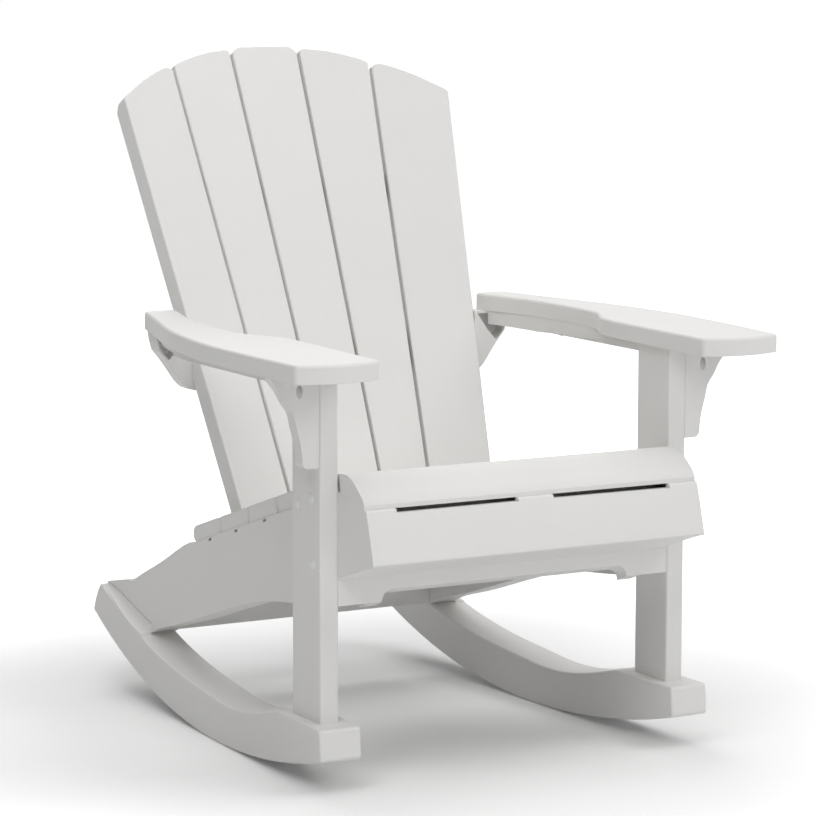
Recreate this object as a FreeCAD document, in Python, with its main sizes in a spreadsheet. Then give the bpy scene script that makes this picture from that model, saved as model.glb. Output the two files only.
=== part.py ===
import FreeCAD, Part
import math
import os
from FreeCAD import Placement, Rotation, Vector

# A rocking adirondack chair of moulded resin, in millimetres, +Z up, floor at z = 0.
# The sitter faces -Y.  Heights and widths are measured from the floor and from the middle plane,
# and every y in an outline below is measured from the front of the rocker's foot.
# The placement of each piece then moves it by frame_shift, so that the origin is under the
# middle of the whole chair.

doc = FreeCAD.newDocument("rocking_chair")
sheet = doc.addObject("Spreadsheet::Sheet", "dims")

DIMENSIONS = [
    ("frame_shift", 390.35, "front of the foot to the middle of the chair"),
    ("wall", 4.0, "wall of a hollow moulding"),
    ("rib_wall", 5.0, "wall and rib of the rocker"),
    ("rocker_width", 63.5, "width of the rocker blade"),
    ("rocker_inner", 257.7, "inner face of the blade at its front"),
    ("rocker_toe", 2.56, "turn of the blade towards the middle, degrees"),
    ("rocker_edge", 3.0, "rounding of the long blade edges"),
    ("rocker_corner", 5.0, "rounding of the blade's end corners"),
    ("sole_contact", 368.0, "where the sole touches the floor"),
    ("sole_rear_radius", 1164.0, "arc of the sole behind the contact"),
    ("sole_front_radius", 1436.0, "arc of the sole before the contact"),
    ("rocker_length", 862.3, "front of the foot to the rear corner"),
    ("foot_top", 93.5, "height of the flat foot"),
    ("rail_inner", 226.5, "inner face of the side rail"),
    ("rail_width", 46.0, "width of the side rail"),
    ("leg_thick", 29.0, "thickness of the leg"),
    ("leg_front", 37.0, "front face of the leg"),
    ("leg_depth", 85.7, "depth of the leg, front to rear"),
    ("leg_edge", 3.0, "rounding of the leg's edges"),
    ("arm_front_under", 588.5, "underside of the arm at its front"),
    ("arm_thick", 26.5, "thickness of the arm"),
    ("arm_rise", 0.5, "rise of the arm towards the rear, degrees"),
    ("arm_corner", 8.0, "rounding of the arm's corners in plan"),
    ("arm_edge", 5.0, "rounding of the arm's upper edges"),
    ("beam_inner", 302.0, "inner face of the arm rail"),
    ("beam_width", 28.0, "width of the arm rail"),
    ("beam_block", 34.0, "height of the arm rail's blank, before its top and underside are cut"),
    ("bracket_y", 560.0, "front face of the rear bracket"),
    ("bracket_thick", 22.0, "thickness of the front bracket"),
    ("seat_width", 542.0, "width over the seat's skirts"),
    ("seat_front_height", 445.0, "top of the seat above the rails' front"),
    ("seat_fall", 17.23, "fall of the seat towards the rear, degrees"),
    ("seat_thick", 23.8, "height of the seat's skirt"),
    ("slot_width", 9.5, "slot between two seat slats"),
    ("slot_pitch", 98.6, "slat and slot together, along the seat"),
    ("back_radius", 760.0, "hollow of the back across its width"),
    ("back_tilt", 25.65, "lean of the back from the vertical, degrees"),
    ("back_thick", 25.4, "thickness of a back slat"),
    ("back_y", 472.7, "front of the middle slat where the height is back_z"),
    ("back_z", 300.0, "height of the back's reference line"),
    ("crossbar_depth", 25.5, "front to rear of the front crossbar"),
    ("stretcher_height", 40.0, "height of the rear stretcher"),
    ("stretcher_depth", 25.0, "front to rear of the rear stretcher"),
    ("screw_head", 12.5, "diameter of a round screw head"),
    ("leg_head", 15.5, "diameter of the screw heads on the legs"),
    ("small_head", 8.6, "diameter of the screw head in the front bracket"),
    ("screw_shank", 5.0, "diameter of a screw"),
    ("screw_hole", 5.8, "diameter of a screw hole"),
    ("stop_size", 13.0, "diameter of a tilt stop"),
]
for row, (alias, value, note) in enumerate(DIMENSIONS, start=1):
    sheet.set("A%d" % row, alias)
    sheet.set("B%d" % row, str(value))
    sheet.set("C%d" % row, note)
    sheet.setAlias("B%d" % row, alias)
doc.recompute()


def dim(name):
    return float(sheet.get(name))


SHIFT = Vector(0, -dim("frame_shift"), 0)
WALL = dim("wall")
nodes = []


def keep(obj, label):
    """Give a finished piece its own name and put it on the list of nodes."""
    obj.Label = label
    nodes.append(obj)
    return obj


def bind(obj, **cells):
    for prop, cell in cells.items():
        obj.setExpression(prop.replace("__", "."), cell if "." in cell else "dims." + cell)
    return obj


def plane(body, role):
    for feature in body.Origin.OriginFeatures:
        if feature.Role == role:
            return feature


def edges_of(steps, closed=True):
    """Edges through a list of steps: (x, y) is a straight run, ("arc", mid, end) an arc through
    mid, ("curve", points) a smooth curve, and ("smooth", points) one that leaves its run gently."""
    edges = []
    here = Vector(*steps[0], 0)
    first = here
    run = Vector(1, 0, 0)
    for step in steps[1:]:
        if step[0] == "arc":
            end = Vector(*step[2], 0)
            arc = Part.Arc(here, Vector(*step[1], 0), end)
            edges.append(arc)
            run = arc.value(arc.LastParameter) - arc.value(arc.LastParameter - 1e-3)
            run = run.normalize() * 60
        elif step[0] in ("curve", "smooth"):
            points = [here] + [Vector(*p, 0) for p in step[1]]
            end = points[-1]
            curve = Part.BSplineCurve()
            if step[0] == "smooth":
                curve.interpolate(Points=points, InitialTangent=run, FinalTangent=end - points[-2])
            else:
                curve.interpolate(points)
            edges.append(curve)
        else:
            end = Vector(*step, 0)
            edges.append(Part.LineSegment(here, end))
            run = end - here
        here = end
    if closed and (here - first).Length > 1e-6:
        edges.append(Part.LineSegment(here, first))
    return edges


def sketch(body, role, outlines, offset=0.0):
    """A sketch on one of the body's own planes, with each outline as a closed wire."""
    sk = body.newObject("Sketcher::SketchObject", body.Name + "_sketch")
    sk.AttachmentSupport = [(plane(body, role), "")]
    sk.MapMode = "FlatFace"
    sk.AttachmentOffset = Placement(Vector(0, 0, offset), Rotation())
    for steps in outlines:
        for geometry in edges_of(steps):
            sk.addGeometry(geometry, False)
    return sk


def new_body(name, at=Vector(), turn=None):
    body = doc.addObject("PartDesign::Body", name)
    body.Placement = Placement(at, turn or Rotation())
    return body


def pad(body, sk, cell, towards_normal=True):
    feature = body.newObject("PartDesign::Pad", body.Name + "_pad")
    feature.Profile = sk
    bind(feature, Length=cell)
    feature.Reversed = not towards_normal
    doc.recompute()
    return feature


def pocket(body, sk, length, towards_normal=False):
    """Cut a sketch out of the body and make sure that something was really cut."""
    before = body.Shape.Volume
    feature = body.newObject("PartDesign::Pocket", body.Name + "_pocket")
    feature.Profile = sk
    if isinstance(length, str):
        bind(feature, Length=length)
    else:
        feature.Length = length
    feature.Reversed = towards_normal
    doc.recompute()
    if not body.Shape.Volume < before - 1:
        raise RuntimeError("nothing was cut from " + body.Name)
    return feature


def round_edges(body, base, names, cell):
    feature = body.newObject("PartDesign::Fillet", body.Name + "_round")
    feature.Base = (base, names)
    bind(feature, Radius=cell)
    doc.recompute()
    return feature


def long_edges(shape, direction, low=None):
    """Names of the straight edges along a direction, and higher than low."""
    names = []
    for number, edge in enumerate(shape.Edges, start=1):
        if not isinstance(edge.Curve, Part.Line):
            continue
        along = edge.tangentAt(edge.FirstParameter)
        if abs(abs(along.dot(direction)) - 1) > 1e-4:
            continue
        if low is None or edge.CenterOfMass.z > low:
            names.append("Edge%d" % number)
    return names


def feature_of(shape, name, placement=None):
    obj = doc.addObject("Part::Feature", name)
    obj.Shape = shape
    obj.Placement = placement or Placement(SHIFT, Rotation())
    return obj


def cylinder(start, direction, radius, length):
    return Part.makeCylinder(radius, length, Vector(*start), Vector(*direction))


def mirror(source, label):
    """The same piece on the sitter's right."""
    obj = doc.addObject("Part::Mirroring", label)
    obj.Source = source
    obj.Normal = Vector(1, 0, 0)
    obj.Base = Vector(0, 0, 0)
    doc.recompute()
    return keep(obj, label)


def cut(base, tool, label):
    obj = doc.addObject("Part::Cut", label)
    obj.Base = base
    obj.Tool = tool
    doc.recompute()
    return obj


def seat_under(y):
    """Height of the rail's top edge, where the seat's skirt rests."""
    return (dim("seat_front_height") - dim("seat_thick") / math.cos(math.radians(dim("seat_fall")))
            - math.tan(math.radians(dim("seat_fall"))) * (y - 38.5))


def arm_under(y):
    return dim("arm_front_under") + math.tan(math.radians(dim("arm_rise"))) * (y + 63.0)


def sole(y):
    """Height of the rocker's sole."""
    gap = y - dim("sole_contact")
    radius = dim("sole_rear_radius") if gap > 0 else dim("sole_front_radius")
    return radius - math.sqrt(radius ** 2 - gap ** 2)


# Screws.  Each is a domed head on a plain shank, and stands in holes a little wider than itself.
SCREWS = {}


def screw(start, direction, length, group, head_size="screw_head"):
    """A screw whose head sits on start and whose shank runs along direction."""
    head_radius = dim(head_size) / 2
    back = Vector(*direction) * -1
    head = Part.makeCylinder(head_radius, 1.2, Vector(*start), back)
    dome = Part.makeSphere(head_radius * 1.6, Vector(*start) + back * (3.4 - head_radius * 1.6), back, 0, 90, 360)
    dome = dome.common(Part.makeCylinder(head_radius, 6.0, Vector(*start) + back * 1.2, back))
    shank = cylinder(start, direction, dim("screw_shank") / 2, length)
    SCREWS.setdefault(group, []).append(head.fuse([dome, shank]).removeSplitter())
    return start, direction, length


def holes(screws, extra=2.0):
    """The clearance holes of some screws, as one shape."""
    shapes = []
    for start, direction, length in screws:
        behind = Vector(*start) - Vector(*direction) * 0.02
        shapes.append(Part.makeCylinder(dim("screw_hole") / 2, length + extra, behind, Vector(*direction)))
    return shapes


# Rocker.  The blade is one side outline, padded across its width, open and ribbed underneath.
ROCKER_TOP = [(130, 93.5), (165, 87.6), (200, 78.8), (250, 68.6), (300, 63.5), (350, 63.4), (400, 67),
              (500, 75.5), (600, 90), (700, 114), (800, 147), (831, 158)]


def blade_top(y):
    """Height of the blade's top between its listed points."""
    points = [(0, dim("foot_top"))] + ROCKER_TOP
    for (y0, z0), (y1, z1) in zip(points, points[1:]):
        if y <= y1:
            return z0 + (z1 - z0) * (y - y0) / (y1 - y0)
    return points[-1][1]


toe = Rotation(Vector(0, 0, 1), dim("rocker_toe"))
blade_at = Vector(dim("rocker_inner"), 0, 0) + SHIFT
blade = new_body("rocker_blade", blade_at, toe)
tail = dim("rocker_length")
contact = dim("sole_contact")
side = sketch(blade, "YZ_Plane", [[
    (-3.8, sole(-3.8)),
    (0, dim("foot_top")),
    (130, dim("foot_top")),
    ("smooth", ROCKER_TOP[1:]),
    ("arc", (849, 137), (tail, sole(tail))),
    ("arc", ((contact + tail) / 2, sole((contact + tail) / 2)), (contact, 0)),
    ("arc", (contact / 2, sole(contact / 2)), (-3.8, sole(-3.8))),
]])
blade_pad = pad(blade, side, "rocker_width")
corners = []
for number, edge in enumerate(blade_pad.Shape.Edges, start=1):
    centre = edge.CenterOfMass
    at_corner = centre.y < 1 or centre.y > 820
    if at_corner and abs(edge.BoundBox.XLength - dim("rocker_width")) < 1e-3:
        corners.append("Edge%d" % number)
blade_ends = round_edges(blade, blade_pad, corners, "rocker_corner")
face_names = []
for number, face in enumerate(blade_ends.Shape.Faces, start=1):
    if isinstance(face.Surface, Part.Plane) and abs(abs(face.normalAt(0, 0).x) - 1) < 1e-6:
        face_names.append("Face%d" % number)
blade_round = round_edges(blade, blade_ends, face_names, "rocker_edge")
CELLS = [(8, 33), (38, 78), (83, 122)] + [(127 + 64 * i, 186 + 64 * i) for i in range(10)]
rib = dim("rib_wall")
hollow = []
for y0, y1 in CELLS:
    y1 = min(y1, 790)
    top0 = blade_top(y0) - rib - 1.5
    top1 = blade_top(y1) - rib - 1.5
    hollow.append([(y0, min(sole(y0), sole(y1)) - 20), (y0, top0), (y1, top1), (y1, min(sole(y0), sole(y1)) - 20)])
side_cells = sketch(blade, "YZ_Plane", hollow, rib)
cells = pocket(blade, side_cells, 1.0, True)
bind(cells, Length="dims.rocker_width - 2 * dims.rib_wall")
doc.recompute()

# The saddle is the hollow-faced strip that carries the blade's top up onto the outer face of the rail.
rail_outer = dim("rail_inner") + dim("rail_width")


def saddle_section(y, width):
    z = blade_top(y)
    corner = Vector(rail_outer, y, z - 4)
    top = Vector(rail_outer, y, z + width)
    foot = Vector(rail_outer + width, y, z - 0.5)
    low = Vector(rail_outer + width, y, z - 4)
    mid = Vector(rail_outer + 0.3 * width, y, z + 0.3 * width)
    arc = Part.Arc(top, mid, foot).toShape()
    lines = [Part.makeLine(foot, low), Part.makeLine(low, corner), Part.makeLine(corner, top)]
    return Part.Wire([arc] + lines)


saddle = feature_of(Part.makeLoft([saddle_section(y, w) for y, w in
                                   ((664, 17.5), (700, 17), (760, 14), (828, 4.0))], True, False),
                    "rocker_saddle")
rocker_whole = doc.addObject("Part::MultiFuse", "rocker_whole")
rocker_whole.Shapes = [blade, saddle]
doc.recompute()

# Tilt stop: a round rubber plug that stands a little proud of the sole near the rocker's rear.
stop_y = 815.0
lean = math.asin((stop_y - contact) / dim("sole_rear_radius"))
stop_x = dim("rocker_inner") + dim("rocker_width") / 2 - math.sin(math.radians(dim("rocker_toe"))) * stop_y
down = Vector(0, math.sin(lean), -math.cos(lean))
stop_at = Vector(stop_x, stop_y, sole(stop_y)) - down * 6
stop_radius = dim("stop_size") / 2
plug = Part.makeCylinder(stop_radius, 13.0, stop_at, down)
plug = plug.makeFillet(2.5, [e for e in plug.Edges if isinstance(e.Curve, Part.Circle)
                             and (e.CenterOfMass - stop_at).dot(down) > 10])
socket = Part.makeCylinder(stop_radius + 0.35, 20.0, stop_at, down)

# Side rail: a deep channel, open at its top under the seat, with a closed tail that runs down to the rocker.
TAIL_TOP = [(538, 266.6), (590, 242.4), (644, 217.5), (704.5, 191.7), (729, 179.8)]
RAIL_UNDER = [(620, 123.5), (567, 138), (460, 171), (376, 197), (282, 223), (160, 240.6), (38.5, 258)]
rail = new_body("rail_left", Vector(dim("rail_inner"), 0, 0) + SHIFT)
rail_side = sketch(rail, "YZ_Plane", [[
    (38.5, 258),
    (38.5, seat_under(38.5)),
    (514, seat_under(514)),
    (518, 273.6),
    ("curve", TAIL_TOP),
    ("arc", (739, 177), (750, 176.6)),
    (826.5, 162),
    (829, 157.6),
    ("curve", [(y, z - 1.5) for y, z in ROCKER_TOP[-2:-4:-1]] + [(670, 105)]),
    ("curve", RAIL_UNDER),
]])
rail_pad = pad(rail, rail_side, "rail_width")
rail_hollow = sketch(rail, "YZ_Plane", [[
    (38.5 + WALL, 258 + WALL),
    (38.5 + WALL, seat_under(38.5) + 30),
    (506, seat_under(506) + 30),
    (506, seat_under(506) - 6),
    (538, 266.6 - WALL - 1),
    (644, 217.5 - WALL - 1),
    (704.5, 191.7 - WALL - 1),
    (735, 173),
    (780, 165),
    (700, 119),
    (670, 112),
    (620, 129),
    (567, 143.5),
    (460, 176.5),
    (376, 202),
    (282, 228),
]], WALL)
rail_cells = pocket(rail, rail_hollow, 1.0, True)
bind(rail_cells, Length="dims.rail_width - 2 * dims.wall")
doc.recompute()
# Three small windows just under the skirt, in the outer wall.
windows = []
for y, z in ((451, 288), (362, 315), (268, 345)):
    windows.append([(y - 5, z + 3.6), (y + 5, z + 0.4), (y + 5, z - 3.6), (y - 5, z - 0.4)])
pocket(rail, sketch(rail, "YZ_Plane", windows, dim("rail_width")), 6.0)

# Front leg: a flat tube from the rocker's foot up to the underside of the arm.
leg_rear = dim("leg_front") + dim("leg_depth")
leg = new_body("leg_left", Vector(rail_outer, 0, 0) + SHIFT)
leg_side = sketch(leg, "YZ_Plane", [[
    (dim("leg_front"), dim("foot_top")),
    (dim("leg_front"), arm_under(dim("leg_front"))),
    (leg_rear, arm_under(leg_rear)),
    (leg_rear, dim("foot_top")),
]])
leg_pad = pad(leg, leg_side, "leg_thick")
leg_round = round_edges(leg, leg_pad, long_edges(leg_pad.Shape, Vector(0, 0, 1)), "leg_edge")
leg_core = sketch(leg, "XY_Plane", [[
    (WALL, dim("leg_front") + WALL),
    (dim("leg_thick") - WALL, dim("leg_front") + WALL),
    (dim("leg_thick") - WALL, leg_rear - WALL),
    (WALL, leg_rear - WALL),
]], dim("foot_top") + 8)
pocket(leg, leg_core, 600.0, True)
leg_screws = []
for y, z in ((103.9, 396.5), (62.6, 409.5), (60.7, 316)):
    leg_screws.append(screw((rail_outer + dim("leg_thick"), y, z), (-1, 0, 0), 40.0, "leg_screws", "leg_head"))

# Arm: a board with a bowed front, an S-shaped step on its inner side and open cells underneath.
arm_tilt = Rotation(Vector(1, 0, 0), dim("arm_rise"))
arm = new_body("arm_left_board", Vector(0, -63, arm_under(-63)) + SHIFT, arm_tilt)
arm_plan = [
    (262.5, -1.5),
    ("arc", (328, -18.8), (391.5, -1.5)),
    ("arc", (398.6, 122), (401, 245)),
    ("smooth", [(393.5, 334), (377, 430), (357, 501), (334, 581), (314, 652)]),
    (264, 655),
    ("curve", [(269.5, 620), (285, 563), (299, 484), (302.5, 410), (301, 363), (295, 334), (283, 311),
               (271, 288), (264.5, 258), (262.5, 224)]),
]
arm_pad = pad(arm, sketch(arm, "XY_Plane", [arm_plan]), "arm_thick")
corner_names = []
for number, edge in enumerate(arm_pad.Shape.Edges, start=1):
    centre = edge.CenterOfMass
    at_end = centre.y < 0 or centre.y > 650
    if at_end and abs(edge.BoundBox.ZLength - dim("arm_thick")) < 1e-3:
        corner_names.append("Edge%d" % number)
arm_corners = round_edges(arm, arm_pad, corner_names, "arm_corner")
top_names = []
for number, face in enumerate(arm_corners.Shape.Faces, start=1):
    if isinstance(face.Surface, Part.Plane) and face.CenterOfMass.z > dim("arm_thick") - 0.01:
        top_names.append("Face%d" % number)
arm_round = round_edges(arm, arm_corners, top_names, "arm_edge")
arm_cells = [
    [(268, 6), (384, 6), (389, 92), (268, 92)],
    [(336, 99), (390, 99), (393, 182), (336, 182)],
    [(336, 189), (394, 189), (394, 300), (336, 300)],
    [(336, 307), (390, 307), (375, 400), (336, 400)],
    [(336, 407), (373, 407), (349, 490), (336, 500)],
    [(268, 192), (297, 192), (297, 300), (284, 300), (268, 262)],
]
arm_open = pocket(arm, sketch(arm, "XY_Plane", arm_cells), dim("arm_thick") - WALL, True)

# Arm rail: the bar under the arm, which bends in with the arm and ends at the rear bracket.  Its outer
# edge hangs lower than the rest.
bracket_front = dim("bracket_y")
beam_outer = dim("beam_inner") + dim("beam_width")
beam = new_body("beam_left", SHIFT)
beam_plan = [
    (dim("beam_inner"), leg_rear),
    (beam_outer, leg_rear),
    (beam_outer, 395),
    ("curve", [(320, 480), (299, bracket_front)]),
    (271, bracket_front),
    ("curve", [(291, 480), (dim("beam_inner"), 395)]),
]
pad(beam, sketch(beam, "XY_Plane", [beam_plan], 566.0), "beam_block")
beam_top = [(leg_rear - 5, arm_under(leg_rear - 5)), (bracket_front + 5, arm_under(bracket_front + 5)),
            (bracket_front + 5, 610), (leg_rear - 5, 610)]
pocket(beam, sketch(beam, "YZ_Plane", [beam_top]), 500.0, True)
beam_under = [(leg_rear - 5, 578.3), (450, 569.8), (520, 571.8), (bracket_front + 5, 572.7),
              (bracket_front + 5, 550), (leg_rear - 5, 550)]
pocket(beam, sketch(beam, "YZ_Plane", [beam_under]), beam_outer - 8, True)
arm_screws = []
for y in (170, 400):
    z = 578.3 - 8.5 * (y - leg_rear) / (450 - leg_rear)
    arm_screws.append(screw((312, y, z - 0.3), (0, 0, 1), 34.0, "arm_screws"))

# Front bracket: a curved gusset outside the leg, its front face flush with the leg's.
bracket = new_body("bracket_left", Vector(0, 38.5, 0) + SHIFT)
leg_outer = rail_outer + dim("leg_thick")
bracket_face = sketch(bracket, "XZ_Plane", [[
    (leg_outer, 455),
    (leg_outer, arm_under(38.5)),
    (379.5, arm_under(38.5)),
    (379, 588),
    ("curve", [(369, 574), (360, 562), (351, 546), (342, 533), (337, 514), (332, 496), (329, 480),
               (327.5, 464)]),
    ("arc", (324.5, 457.6), (317, 455)),
]])
pad(bracket, bracket_face, "bracket_thick", False)
recess = doc.addObject("Part::Cylinder", "bracket_recess")
recess.Radius = 4.8
recess.Height = 40.0
recess.Placement = Placement(Vector(332, 46, 575.5) + SHIFT, Rotation(Vector(1, 0, 0), 150))
bracket_left = cut(bracket, recess, "bracket_cut")
bracket_screws = [screw((332, 46, 575.5), (0, 0.5, 0.866), 36.0, "front_bracket_screws", "small_head")]

# Seat: built in a frame that lies on its top, with y down the slope and z square to it.
fall = math.radians(dim("seat_fall"))
seat_turn = Rotation(Vector(1, 0, 0), -dim("seat_fall"))
seat_at = Vector(0, 38.5, dim("seat_front_height"))


def on_seat(y, z):
    """A side-view point in the seat's own frame."""
    dy = y - 38.5
    dz = z - dim("seat_front_height")
    return dy * math.cos(fall) - dz * math.sin(fall), dy * math.sin(fall) + dz * math.cos(fall)


seat = new_body("seat_board", seat_at + SHIFT, seat_turn)
half = dim("seat_width") / 2
seat_rear = on_seat(501, 302)[0]
thick = dim("seat_thick")
nose = [(42, 443.9), (33, 445.6), (25, 446.2), (17, 445.9), (4, 442.5), (-8, 436), (-20, 427), (-30, 419),
        (-35.5, 410.5)]
apron_top = (38.5, seat_under(38.5))
seat_side = sketch(seat, "YZ_Plane", [[
    (seat_rear, 0),
    (on_seat(52, 440.8)[0], 0),
    ("curve", [on_seat(y, z) for y, z in nose]),
    on_seat(-35.5, 404.2),
    on_seat(*apron_top),
    (seat_rear + 7, -thick),
    ("arc", (seat_rear + 13.4, -18), (seat_rear + 13, -9)),
    ("arc", (seat_rear + 8, -2.4), (seat_rear, 0)),
]], -half)
seat_pad = pad(seat, seat_side, "seat_width")
nose_hollow = [(34, 400), (34, 440.5), (17, 441), (4, 437.8), (-10, 429.5), (-22, 420), (-29, 412.5), (-30.5, 400)]
pocket(seat, sketch(seat, "YZ_Plane", [[on_seat(y, z) for y, z in nose_hollow]], -half + 9),
       dim("seat_width") - 18, True)
slots = [401.5 - dim("slot_pitch") * i for i in range(5)]
slot_half = dim("slot_width") / 2


def rectangle(x0, x1, y0, y1):
    return [(x0, y0), (x1, y0), (x1, y1), (x0, y1)]


slot_outlines = []
for centre in slots:
    for x0, x1 in ((-half + 9, half - 9), (half - 2.5, half + 3), (-half - 3, -half + 2.5)):
        slot_outlines.append(rectangle(x0, x1, centre - slot_half, centre + slot_half))
pocket(seat, sketch(seat, "XY_Plane", slot_outlines, 5.0), thick + 4.9)
under_cells = []
for centre in slots[1:]:
    y0 = centre + slot_half + WALL
    y1 = centre + dim("slot_pitch") - slot_half - WALL
    for x0 in (-262, -130, 2, 134):
        under_cells.append(rectangle(x0, x0 + 128, y0, y1))
for x0 in (-265, 231):
    under_cells.append(rectangle(x0, x0 + 34, 411, seat_rear - 6))
pocket(seat, sketch(seat, "XY_Plane", under_cells, -thick - 5), thick + 5 - WALL, True)

# Back.  In its own frame x is across, z runs up the slope and y goes square into the slats.
tilt = math.radians(dim("back_tilt"))
back_turn = Rotation(Vector(1, 0, 0), -dim("back_tilt"))
back_at = Placement(Vector(0, dim("back_y"), dim("back_z")) + SHIFT, back_turn)
radius = dim("back_radius")
GAP = 4.6
SLAT_FOOT = -62.0


def sag(x):
    return radius - math.sqrt(radius ** 2 - x ** 2)


def inner_gap(z):
    return 42.2 + 0.0223 * z


def outer_gap(z):
    return 119.5 + 0.0733 * z


def side_edge(z):
    return 217.8 + 0.1003 * z


def slat_bounds(index, z):
    """Left and right edge of a slat, 0 in the middle, 1 and 2 to the sitter's left."""
    if index == 0:
        return -inner_gap(z) + GAP / 2, inner_gap(z) - GAP / 2
    if index == 1:
        return inner_gap(z) + GAP / 2, outer_gap(z) - GAP / 2
    return outer_gap(z) + GAP / 2, side_edge(z)


def slat_section(index, z, inset=0.0, front=0.0, depth=None):
    """A slat's four-cornered cross-section at a height, made smaller all round by inset."""
    left, right = slat_bounds(index, z)
    a = Vector(left, -sag(left), z)
    b = Vector(right, -sag(right), z)
    along = (b - a).normalize()
    into = Vector(-along.y, along.x, 0)
    a = a + along * inset + into * front
    b = b - along * inset + into * front
    deep = into * ((depth or dim("back_thick")) - front)
    return Part.makePolygon([a, b, b + deep, a + deep, a])


def slat_block(index, z0, z1, inset=0.0, front=0.0, depth=None):
    sections = [slat_section(index, z, inset, front, depth) for z in (z0, z1)]
    return Part.makeLoft(sections, True, True)


SLAT_TOPS = [
    [(-70, 740), (-62, 758), ("curve", [(-56, 775), (-45, 783.2), (-30, 784.2), (0, 785), (30, 784.2), (45, 783.2),
                                       (56, 775), (62, 758)]), (70, 740), (70, -80), (-70, -80)],
    [(20, 768), (60, 768), ("curve", [(62.5, 775.5), (69, 779), (76, 778), (99, 774), (119, 768.5), (139, 762),
                                      (160, 753.5), (171, 747), (175.5, 738)]), (200, 734), (200, -80), (20, -80)],
    [(100, 700), (171, 722), ("curve", [(177, 737.5), (181, 741), (189, 741.5), (204, 735.5), (222, 725.5),
                                        (247, 709.5), (270, 692), (284, 680.5), (290, 668), (293, 650)]),
     (330, 640), (330, -80), (100, -80)],
]


def top_prism(index):
    """Everything below the slat's top outline, as a prism through the slats."""
    edges = [g.toShape() for g in edges_of(SLAT_TOPS[index])]
    face = Part.Face(Part.Wire(edges))
    turn = FreeCAD.Matrix()
    turn.rotateX(math.pi / 2)
    face = face.transformGeometry(turn)
    solid = face.extrude(Vector(0, 200, 0))
    solid.translate(Vector(0, -100, 0))
    return solid


def flip(shape):
    """The mirror image across the middle plane."""
    return shape.mirror(Vector(0, 0, 0), Vector(1, 0, 0))


slats = []
envelope = []
SKIN = 3.2
RIBS = ((-62, -22), (238, 290), (515, 559))
for index in range(3):
    whole = slat_block(index, SLAT_FOOT, 800).common(top_prism(index))
    front_edges = [e for e in whole.Edges if e.CenterOfMass.z > 0 and e.Length > 30
                   and abs(e.CenterOfMass.y + sag(e.CenterOfMass.x)) < 4]
    whole = whole.makeFillet(2.5, front_edges)
    rooms = []
    for z0, z1 in ((-16, 130), (133, 300), (303, 470), (473, (774, 732, 658)[index])):
        rooms.append(slat_block(index, z0, z1, SKIN, SKIN, 40))
    slat = whole.cut(rooms)
    slats.append(slat)
    envelope.append(whole)
    if index:
        slats.append(flip(slat))
        envelope.append(flip(whole))


def arc_block(inner, outer, half_low, half_high, z0, z1):
    """A rib that follows the hollow of the back, between two radii and two heights."""
    def ring(half_width, z):
        points = []
        for r in (inner, outer):
            a = math.asin(half_width / r)
            points.append([Vector(r * math.sin(t), r * math.cos(t) - radius, z) for t in (-a, 0, a)])
        low, high = points
        return Part.Wire([Part.Arc(*low).toShape(), Part.makeLine(low[2], high[2]),
                          Part.Arc(*reversed(high)).toShape(), Part.makeLine(high[0], low[0])])
    return Part.makeLoft([ring(half_low, z0), ring(half_high, z1)], True, True)


ribs = [arc_block(radius + 22, radius + 38, side_edge(z0) - 8, side_edge(z1) - 8, z0, z1) for z0, z1 in RIBS]
back_shape = slats[0].fuse(slats[1:] + ribs)
back_screws = [screw((x, 72, -41), (0, -1, 0), 56.0, "back_screws") for x in (-110, 0, 110)]
back_whole = feature_of(back_shape.cut(holes(back_screws)), "back_whole", back_at)
# The room of the back, with everything in front of its outer slat, for cutting the rear bracket.
before_slat = slat_block(2, 100, 620, -0.4, -150)
back_hull = feature_of(envelope[0].fuse(envelope[1:] + ribs + [before_slat]), "back_hull", back_at)

# The support bar stands between the rails and carries the foot of the back.
bar_half = dim("rail_inner")
bar_low = Part.makeBox(2 * bar_half, 90, 38, Vector(-bar_half, -18, -60))
bar_round = Part.makeCylinder(radius + 38, 60, Vector(0, -radius, -70))
bar_rooms = [Part.makeBox(w, 90, 26, Vector(x, 44, -63)) for x, w in ((-216, 96), (-100, 90), (10, 90), (120, 96))]
bar_shape = bar_low.cut([bar_round]).cut(bar_rooms).cut(holes(back_screws))
support = feature_of(bar_shape, "support_whole", back_at)

# The notch in the seat's rear edge clears the back by about 3 mm.
clear = Part.makeBox(2 * 230, 220, 400, Vector(-230, -60, -150))
clear = clear.cut(Part.makeCylinder(radius - 3, 500, Vector(0, -radius, -200)))
notch = feature_of(clear, "seat_notch", back_at)
seat_cut = cut(seat, notch, "seat_cut")

# Front apron: a trough that hangs from the seat's nose and comes back to the rails.
apron = new_body("apron_trough", SHIFT)
apron_side = sketch(apron, "YZ_Plane", [[
    (-41.5, 402),
    ("curve", [(-45, 391.5), (-51, 372), (-56, 354), (-60, 340), (-62, 332)]),
    ("arc", (-61.4, 329.6), (-59, 328.6)),
    (-43.5, 324),
    (33, 299),
    (38.5, 295.2),
    apron_top,
    (-35.5, 404.2),
    (-39, 404.2),
]], -half)
pad(apron, apron_side, "seat_width")
trough = [(-31, 398), (-41, 370), (-55.5, 336.5), (-42, 328.6), (34.5, 303.6), (34.5, 425), (-31, 425)]
pocket(apron, sketch(apron, "YZ_Plane", [trough], -half + 5), dim("seat_width") - 10, True)
seam_slots = []
for side_sign in (-1, 1):
    seam_slots.append([(28.7 * side_sign, 398.6), (223.4 * side_sign, 398.0), (223.4 * side_sign, 404.4),
                       (28.7 * side_sign, 404.4)])
pocket(apron, sketch(apron, "XZ_Plane", seam_slots, 70), 48.0)

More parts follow.
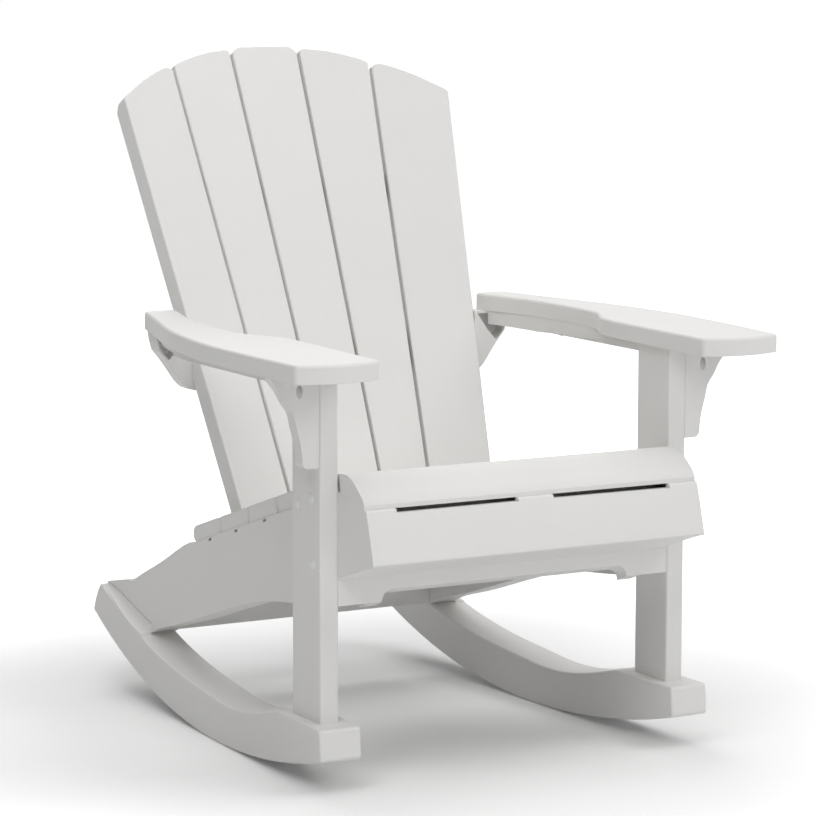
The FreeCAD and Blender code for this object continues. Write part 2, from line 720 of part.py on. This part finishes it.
# Front crossbar: its underside is cut away in the middle and falls a little towards the rear.
crossbar_sketch = doc.addObject("Sketcher::SketchObject", "crossbar_face")
crossbar_sketch.Placement = Placement(Vector(0, 38.5, 0) + SHIFT, Rotation(Vector(1, 0, 0), 90))
inner = dim("rail_inner")
for geometry in edges_of([
    (-inner, 258), (-inner, 330), (inner, 330), (inner, 258), (203, 258),
    ("arc", (198, 270), (186, 275)), (-186, 275), ("arc", (-198, 270), (-203, 258)),
]):
    crossbar_sketch.addGeometry(geometry, False)
crossbar = doc.addObject("Part::Extrusion", "crossbar")
crossbar.Base = crossbar_sketch
crossbar.DirMode = "Custom"
crossbar.Dir = Vector(0, 25.5, -10).normalize()
crossbar.Solid = True
bind(crossbar, LengthFwd="dims.crossbar_depth * 1.0741")

# Rear stretcher: a plain bar between the rails near the rockers.
stretcher = doc.addObject("Part::Box", "stretcher")
bind(stretcher, Length="dims.rail_inner * 2", Width="stretcher_depth", Height="stretcher_height")
stretcher.Placement = Placement(Vector(-inner, 667, 107.6) + SHIFT, Rotation())

# Rear bracket: a curved gusset under the arm's rear end that wraps behind the edge of the back.
gusset_at = Placement(Vector(0, bracket_front, 0) + SHIFT, Rotation(Vector(1, 0, 0), 90))
gusset_top = arm_under(bracket_front)


def gusset_block(name, steps, length):
    """A block under the arm's rear end: an outline seen from the front, drawn out rearwards."""
    face = doc.addObject("Sketcher::SketchObject", name + "_face")
    face.Placement = gusset_at
    for geometry in edges_of(steps):
        face.addGeometry(geometry, False)
    block = doc.addObject("Part::Extrusion", name)
    block.Base = face
    block.DirMode = "Custom"
    block.Dir = Vector(0, 1, math.tan(math.radians(dim("arm_rise")))).normalize()
    block.LengthFwd = length
    block.Solid = True
    doc.recompute()
    return block


gusset = gusset_block("gusset", [
    (226, 498), (226, gusset_top), (309, gusset_top), (306, 575), (302, 561),
    ("curve", [(286, 541), (276, 527), (265.5, 512), (254, 501)]), (241, 498),
], 30.0)
# A three-cornered hollow in its front face, partly hidden by the end of the arm rail.
gusset_hollow = gusset_block("gusset_hollow", [
    (286.5, 547), (299, 561.5), (303, 575), (305, 590), (252, 590), (275, 559),
], 22.0)
gusset_open = cut(gusset, gusset_hollow, "gusset_open")
gusset_cut = cut(gusset_open, back_hull, "gusset_cut")

# Screws that nobody sees: up through the foot into the leg, through the tail into the rail, and
# out of the hollow rails into the bars between them.
foot_screws = [screw((287, y, 86.9), (0, 0, 1), 15.0, "foot_screws") for y in (58, 102)]
slope = math.atan2(33.0, 100.0)
tail_screws = [screw((251, 739, blade_top(735) - 8.4), (0, -math.sin(slope), math.cos(slope)), 18.0, "tail_screws")]
rail_screws = []
for y, z in ((51, 300), (491, 246), (679, 128)):
    rail_screws.append(screw((inner + WALL, y, z), (-1, 0, 0), 30.0, "rail_screws"))


def drill(base, screws, label, extra=(), both=False):
    """Cut the clearance holes of some screws out of a piece."""
    shapes = holes(screws) + list(extra)
    if both:
        shapes = shapes + [flip(s) for s in shapes]
    tool = feature_of(Part.makeCompound(shapes), label + "_holes")
    return cut(base, tool, label)


rocker = keep(drill(rocker_whole, foot_screws + tail_screws, "rocker_left", [socket]), "rocker_left")
rail_on_blade = cut(rail, rocker_whole, "rail_on_blade")
rail_left = keep(drill(rail_on_blade, leg_screws + tail_screws + rail_screws, "side_rail_left"), "side_rail_left")
leg_left = keep(drill(leg, leg_screws + foot_screws, "front_leg_left"), "front_leg_left")
arm_left = keep(drill(arm, arm_screws + bracket_screws, "arm_left"), "arm_left")
beam_left = keep(drill(beam, arm_screws, "arm_rail_left"), "arm_rail_left")
bracket_piece = keep(drill(bracket_left, bracket_screws, "front_bracket_left"), "front_bracket_left")
gusset_left = keep(gusset_cut, "rear_bracket_left")
for piece in list(nodes):
    mirror(piece, piece.Label.replace("_left", "_right"))
keep(seat_cut, "seat")
keep(apron, "front_apron")
keep(back_whole, "back_panel")
keep(drill(support, [], "back_support_bar", holes([rail_screws[1]]), True), "back_support_bar")
keep(drill(crossbar, [], "front_crossbar", holes([rail_screws[0]]), True), "front_crossbar")
keep(drill(stretcher, [], "rear_stretcher", holes([rail_screws[2]]), True), "rear_stretcher")
keep(feature_of(Part.makeCompound([plug, flip(plug)]), "tilt_stops"), "tilt_stops")
for group, shapes in SCREWS.items():
    if group == "back_screws":
        keep(feature_of(Part.makeCompound(shapes), group, back_at), group)
    else:
        keep(feature_of(Part.makeCompound(shapes + [flip(s) for s in shapes]), group), group)
doc.recompute()

# Every object must be sound before anything is written.
for obj in doc.Objects:
    if "Invalid" in obj.State or "Error" in obj.State:
        raise RuntimeError("failed: " + obj.Label)
os.makedirs("parts", exist_ok=True)
for obj in nodes:
    if obj.Shape.isNull() or not obj.Shape.isValid():
        raise RuntimeError("bad shape: " + obj.Label)
    obj.Shape.exportStep(os.path.join("parts", obj.Label + ".step"))
    print(obj.Label, len(obj.Shape.Solids), "solid", round(obj.Shape.Volume / 1000), "cm3")
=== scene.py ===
# %% [markdown]
# # A rocking garden armchair in white moulded resin
# This lesson dresses a chair whose parts were already modelled as exact solids.
# Those solids arrive as meshes, one object for each real piece, all in metres and all standing where
# they belong. We never move them. Our work is the surface, the light and the camera.

# %% Load the frame
import math

import bpy
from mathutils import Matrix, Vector

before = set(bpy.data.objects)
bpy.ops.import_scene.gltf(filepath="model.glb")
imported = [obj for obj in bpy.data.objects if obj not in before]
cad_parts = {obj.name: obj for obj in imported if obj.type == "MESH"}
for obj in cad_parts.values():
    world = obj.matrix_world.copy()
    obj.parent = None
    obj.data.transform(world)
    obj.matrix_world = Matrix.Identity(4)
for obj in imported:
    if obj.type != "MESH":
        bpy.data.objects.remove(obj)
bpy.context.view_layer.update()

# %% [markdown]
# ## Two small helpers
# Colours are picked as sRGB hex values, the way a paint chart gives them, but a shader works with
# linear light, so one function turns the one into the other. The second helper adds a shader node,
# sets its values and plugs in its links in one call, which keeps a recipe short enough to read.

# %% Helpers for colour and nodes
def linear(hex_code):
    """An sRGB hex colour as linear RGBA."""
    parts = [int(hex_code[i:i + 2], 16) / 255 for i in (1, 3, 5)]
    return [p / 12.92 if p <= 0.04045 else ((p + 0.055) / 1.055) ** 2.4 for p in parts] + [1.0]


def add(tree, kind, values=None, **settings):
    """Add a node. values maps an input to a constant or to the output that feeds it."""
    node = tree.nodes.new(kind)
    for name, value in settings.items():
        setattr(node, name, value)
    for name, value in (values or {}).items():
        if isinstance(value, bpy.types.NodeSocket):
            tree.links.new(value, node.inputs[name])
        else:
            node.inputs[name].default_value = value
    return node


def empty_material(name):
    material = bpy.data.materials.new(name)
    material.use_nodes = True
    material.node_tree.nodes.clear()
    return material, material.node_tree


print("white as linear light:", [round(v, 3) for v in linear("#E9E8E6")])

# %% [markdown]
# ## White polypropylene resin
# The real chair is injection moulded from polypropylene with white pigment. The tool's surface is
# spark eroded, which leaves a fine even grain and a soft sheen, and long boards carry faint flow lines
# along their length. A plain white would look like paper, so we build four things from the real
# sizes: a grain of about 0.8 mm in the bump, flow lines some 3 mm apart and 60 mm long, a slow change
# of tone over a hand's width, and a little rounding of every sharp arris with the Bevel node.
# The real grain is nearer 0.3 mm. It is drawn coarser, because finer would not show at all.

# %% A material for each run of the flow lines
GRAIN_MM = 0.8
FLOW_MM = (3.0, 60.0)
TONE_MM = 120.0
ARRIS_RADIUS = 0.0012
RESIN_IOR = 1.49


def resin(name, turn=(0, 0, 0), along="Y", tint="#E8E7E5"):
    """Moulded white polypropylene, with flow lines along one axis of the turned frame."""
    material, tree = empty_material(name)
    place = add(tree, "ShaderNodeTexCoord")
    turned = add(tree, "ShaderNodeMapping", {"Vector": place.outputs["Object"], "Rotation": turn})
    stretch = [1000 / FLOW_MM[0]] * 3
    stretch["XYZ".index(along)] = 1000 / FLOW_MM[1]
    lines_at = add(tree, "ShaderNodeMapping", {"Vector": turned.outputs["Vector"], "Scale": stretch})
    lines = add(tree, "ShaderNodeTexNoise",
                {"Vector": lines_at.outputs["Vector"], "Scale": 1.0, "Detail": 2.0})
    grain = add(tree, "ShaderNodeTexNoise",
                {"Vector": place.outputs["Object"], "Scale": 1000 / GRAIN_MM, "Detail": 1.0})
    tone = add(tree, "ShaderNodeTexNoise",
               {"Vector": place.outputs["Object"], "Scale": 1000 / TONE_MM, "Detail": 3.0})
    shade = add(tree, "ShaderNodeMapRange",
                {"Value": tone.outputs["Fac"], "From Min": 0.3, "From Max": 0.7,
                 "To Min": 0.985, "To Max": 1.0})
    streak = add(tree, "ShaderNodeMapRange",
                 {"Value": lines.outputs["Fac"], "From Min": 0.3, "From Max": 0.7,
                  "To Min": 0.99, "To Max": 1.0})
    both = add(tree, "ShaderNodeMath", {0: shade.outputs["Result"], 1: streak.outputs["Result"]},
               operation="MULTIPLY")
    colour = add(tree, "ShaderNodeVectorMath", {0: linear(tint)[:3]}, operation="SCALE")
    tree.links.new(both.outputs["Value"], colour.inputs["Scale"])
    rough = add(tree, "ShaderNodeMapRange",
                {"Value": lines.outputs["Fac"], "From Min": 0.3, "From Max": 0.7,
                 "To Min": 0.54, "To Max": 0.64})
    arris = add(tree, "ShaderNodeBevel", {"Radius": ARRIS_RADIUS}, samples=6)
    flow_bump = add(tree, "ShaderNodeBump",
                    {"Height": lines.outputs["Fac"], "Normal": arris.outputs["Normal"],
                     "Strength": 0.10, "Distance": 0.0003})
    grain_bump = add(tree, "ShaderNodeBump",
                     {"Height": grain.outputs["Fac"], "Normal": flow_bump.outputs["Normal"],
                      "Strength": 0.25, "Distance": 0.0001})
    surface = add(tree, "ShaderNodeBsdfPrincipled",
                  {"Base Color": colour.outputs["Vector"], "Roughness": rough.outputs["Result"],
                   "Normal": grain_bump.outputs["Normal"], "IOR": RESIN_IOR})
    add(tree, "ShaderNodeOutputMaterial", {"Surface": surface.outputs["BSDF"]})
    return material


BACK_LEAN = math.radians(25.65)
SEAT_FALL = math.radians(17.23)
lengthwise = resin("polypropylene_lengthwise", along="Y")
across = resin("polypropylene_across", turn=(SEAT_FALL, 0, 0), along="X")
upright = resin("polypropylene_upright", along="Z")
leaning = resin("polypropylene_leaning", turn=(BACK_LEAN, 0, 0), along="Z")
print("resins:", [m.name for m in (lengthwise, across, upright, leaning)])

# %% [markdown]
# ## Coated steel and soft rubber
# The screws that show are steel with a white powder coat: the coat is smoother than the resin, so it
# catches a small highlight on each dome. The hidden screws are plain zinc plate, a metal with a
# slightly uneven roughness. The tilt stops are white thermoplastic rubber, very matt.

# %% Powder coat, zinc and rubber
def coated(name, hex_code, roughness, metallic, spot_mm, depth):
    """A small hardware finish with an uneven surface of a given spot size."""
    material, tree = empty_material(name)
    place = add(tree, "ShaderNodeTexCoord")
    spots = add(tree, "ShaderNodeTexNoise",
                {"Vector": place.outputs["Object"], "Scale": 1000 / spot_mm, "Detail": 2.0})
    shade = add(tree, "ShaderNodeMapRange",
                {"Value": spots.outputs["Fac"], "From Min": 0.3, "From Max": 0.7,
                 "To Min": 0.94, "To Max": 1.0})
    colour = add(tree, "ShaderNodeVectorMath", {0: linear(hex_code)[:3]}, operation="SCALE")
    tree.links.new(shade.outputs["Result"], colour.inputs["Scale"])
    rough = add(tree, "ShaderNodeMapRange",
                {"Value": spots.outputs["Fac"], "From Min": 0.3, "From Max": 0.7,
                 "To Min": roughness - 0.05, "To Max": roughness + 0.05})
    bump = add(tree, "ShaderNodeBump", {"Height": spots.outputs["Fac"], "Strength": 0.3, "Distance": depth})
    surface = add(tree, "ShaderNodeBsdfPrincipled",
                  {"Base Color": colour.outputs["Vector"], "Roughness": rough.outputs["Result"],
                   "Metallic": metallic, "Normal": bump.outputs["Normal"]})
    add(tree, "ShaderNodeOutputMaterial", {"Surface": surface.outputs["BSDF"]})
    return material


powder_coat = coated("white_powder_coat", "#E6E6E4", 0.35, 0.0, 1.5, 0.00005)
zinc = coated("zinc_plate", "#B9BBBE", 0.38, 1.0, 2.0, 0.00003)
soft_rubber = coated("white_rubber", "#DAD9D6", 0.75, 0.0, 1.0, 0.00008)
print("hardware:", powder_coat.name, zinc.name, soft_rubber.name)

# %% [markdown]
# ## Dress the pieces
# Every piece gets the finish whose flow lines run the way the resin filled that mould: along the rails,
# rockers and arms, up the legs and the back, and across the seat. One table holds it all.

# %% Give each piece its finish
FINISH = {
    "rocker": lengthwise, "side_rail": lengthwise, "arm": lengthwise, "arm_rail": lengthwise,
    "front_leg": upright, "front_bracket": upright, "rear_bracket": upright,
    "seat": across, "front_apron": across, "front_crossbar": across, "rear_stretcher": across,
    "back_support_bar": across, "back_panel": leaning, "tilt_stops": soft_rubber,
    "leg_screws": powder_coat, "front_bracket_screws": powder_coat,
}
for name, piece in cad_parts.items():
    finish = FINISH.get(name.replace("_left", "").replace("_right", ""), zinc)
    for slot in piece.material_slots:
        slot.material = finish
print("dressed:", len(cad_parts))

# %% [markdown]
# ## Floor and backdrop
# The picture was made on white paper that meets a white wall. One large plane is enough. Its diffuse
# white keeps the chair's shadow. The lamps fade with distance, so a glow that only the camera and its
# mirror images see grows from 0.4 m to 1.7 m around the chair: the far paper is white, the shadow stays
# a real shadow, and no extra light reaches the chair.

# %% White paper floor
PAPER_WHITE = (0.93, 0.93, 0.93, 1)
GLOW_START = 0.4
GLOW_FULL = 1.7
GLOW_NEAR = 0.09


def paper():
    material, tree = empty_material("white_paper")
    rays = add(tree, "ShaderNodeLightPath")
    fibre = add(tree, "ShaderNodeTexNoise", {"Scale": 900.0, "Detail": 1.0})
    bump = add(tree, "ShaderNodeBump", {"Height": fibre.outputs["Fac"], "Strength": 0.02, "Distance": 0.0002})
    matt = add(tree, "ShaderNodeBsdfDiffuse", {"Color": PAPER_WHITE, "Normal": bump.outputs["Normal"]})
    seen = add(tree, "ShaderNodeMath", {0: rays.outputs["Is Camera Ray"], 1: rays.outputs["Is Glossy Ray"]},
               operation="MAXIMUM")
    place = add(tree, "ShaderNodeTexCoord")
    away = add(tree, "ShaderNodeVectorMath", {0: place.outputs["Object"]}, operation="LENGTH")
    growth = add(tree, "ShaderNodeMapRange",
                 {"Value": away.outputs["Value"], "From Min": GLOW_START, "From Max": GLOW_FULL,
                  "To Min": GLOW_NEAR, "To Max": 1.0}, interpolation_type="SMOOTHSTEP")
    level = add(tree, "ShaderNodeMath", {0: seen.outputs["Value"], 1: growth.outputs["Result"]},
                operation="MULTIPLY")
    glow = add(tree, "ShaderNodeEmission", {"Color": (1, 1, 1, 1), "Strength": level.outputs["Value"]})
    together = add(tree, "ShaderNodeAddShader", {0: matt.outputs["BSDF"], 1: glow.outputs["Emission"]})
    add(tree, "ShaderNodeOutputMaterial", {"Surface": together.outputs["Shader"]})
    return material


FLOOR_HALF = 40.0
floor_mesh = bpy.data.meshes.new("paper_floor")
corners = [(x * FLOOR_HALF, y * FLOOR_HALF, -0.0005) for x, y in ((-1, -1), (1, -1), (1, 1), (-1, 1))]
floor_mesh.from_pydata(corners, [], [(0, 1, 2, 3)])
floor = bpy.data.objects.new("paper_floor", floor_mesh)
bpy.context.scene.collection.objects.link(floor)
floor_mesh.materials.append(paper())
print("floor half size, m:", FLOOR_HALF)

# %% [markdown]
# ## Light
# The picture has the even light of a white tent: bright tops, slightly darker fronts and grey sides.
# Six wide soft boxes stand around the chair, and the strongest are high in front and high behind. A
# wide lamp gives soft shadow edges. The world adds only a little light, and shows pure white to the
# camera and to reflections.

# %% Lamps and world
def softbox(name, at, aim, size, watts):
    lamp = bpy.data.lights.new(name, "AREA")
    lamp.shape = "DISK"
    lamp.size = size
    lamp.energy = watts
    holder = bpy.data.objects.new(name, lamp)
    bpy.context.scene.collection.objects.link(holder)
    holder.location = at
    holder.rotation_euler = (Vector(aim) - Vector(at)).to_track_quat("-Z", "Y").to_euler()
    return holder


LAMP_SIZE = 3.0
LAMP_AIM = (0, 0, 0.4)
for name, at, watts in (
    ("overhead", (0, 0, 5.0), 42),
    ("high_right", (2.6, -2.2, 4.2), 68),
    ("high_left", (-2.6, -2.2, 4.2), 66),
    ("front", (-0.6, -5.0, 2.2), 50),
    ("right", (4.5, -1.0, 1.6), 20),
    ("behind", (0.5, 3.6, 4.0), 74),
):
    softbox(name, at, LAMP_AIM, LAMP_SIZE, watts)

TENT_LIGHT = 0.1
world = bpy.data.worlds.new("white_tent")
bpy.context.scene.world = world
world.use_nodes = True
sky = world.node_tree
sky.nodes.clear()
rays = add(sky, "ShaderNodeLightPath")
shown = add(sky, "ShaderNodeMath", {0: rays.outputs["Is Camera Ray"], 1: rays.outputs["Is Glossy Ray"]},
            operation="MAXIMUM")
shown_too = add(sky, "ShaderNodeMath", {0: shown.outputs["Value"], 1: rays.outputs["Is Transmission Ray"]},
                operation="MAXIMUM")
level = add(sky, "ShaderNodeMapRange",
            {"Value": shown_too.outputs["Value"], "To Min": TENT_LIGHT, "To Max": 1.0})
tent = add(sky, "ShaderNodeBackground", {"Color": (1, 1, 1, 1), "Strength": level.outputs["Result"]})
add(sky, "ShaderNodeOutputWorld", {"Surface": tent.outputs["Background"]})
bpy.context.scene.view_settings.view_transform = "Standard"

# %% [markdown]
# ## Camera
# A long lens from about five metres keeps the chair's lines nearly parallel. The direction was worked
# out from the edges in the picture: a little under 29 degrees round to the sitter's right, and about 8
# degrees down.

# %% Camera
PICTURE_PX = 816
FOCAL_PX = 3400.0
SENSOR_MM = 36.0
camera_data = bpy.data.cameras.new("long_lens")
camera_data.sensor_width = SENSOR_MM
camera_data.lens = FOCAL_PX / PICTURE_PX * SENSOR_MM
camera_data.clip_end = 200.0
camera = bpy.data.objects.new("long_lens", camera_data)
bpy.context.scene.collection.objects.link(camera)
camera.location = (-2.4382, -4.4705, 1.1855)
camera.rotation_euler = [math.radians(a) for a in (82.0704, -0.0850, -28.9184)]
bpy.context.scene.camera = camera
print("lens, mm:", camera_data.lens)
